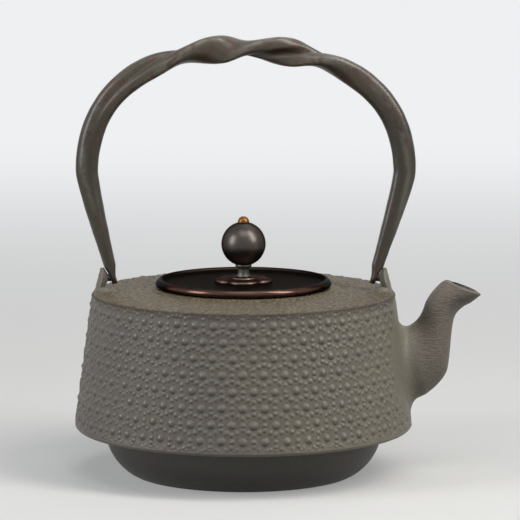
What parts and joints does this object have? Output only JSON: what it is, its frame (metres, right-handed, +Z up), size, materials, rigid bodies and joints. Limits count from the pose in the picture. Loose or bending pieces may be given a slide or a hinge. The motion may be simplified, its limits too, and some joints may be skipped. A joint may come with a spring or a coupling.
{
  "type": "cast iron kettle",
  "caption": "Cast iron water kettle with an overhanging hobnail drum, a beaked spout, a flat lid with a ball knob and a swinging twisted bail handle.",
  "frame": {"origin": "centre of the base, on the surface that the kettle stands on", "axes": "+Z up; +X from the centre towards the spout; the handle swings about an axis parallel to X"},
  "size_m": [0.2046, 0.1696, 0.2195],
  "materials": {
    "cast_iron_pot": "fine sand-cast, dark grey-brown",
    "forged_iron": "satin, brown patches",
    "lid_patina": "dark copper patina, pinkish where it is rubbed",
    "ball_bronze": "dark satin bronze",
    "neck_bronze": "grey-green satin bronze",
    "bolt_brass": "plain polished brass"
  },
  "bodies": {
    "kettle": {"kettle_body": "cast_iron_pot", "spout": "cast_iron_pot", "ear_left": "cast_iron_pot", "ear_right": "cast_iron_pot"},
    "handle": {"handle": "forged_iron"},
    "lid": {"lid_plate": "lid_patina", "lid_flange": "lid_patina", "knob_seat": "lid_patina", "knob_neck": "neck_bronze", "knob_ball": "ball_bronze", "knob_bolt": "bolt_brass", "lid_washer": "bolt_brass", "lid_nut": "bolt_brass"}
  },
  "joints": [
    {"name": "handle_swing", "type": "hinge", "parent": "kettle", "child": "handle", "pos_m": [0, 0, 0.098], "axis": [1, 0, 0], "range_deg": [-96, 96]},
    {"name": "lid_lift", "type": "slide", "parent": "kettle", "child": "lid", "axis": [0, 0, 1], "range_m": [0, 0.06]}
  ]
}
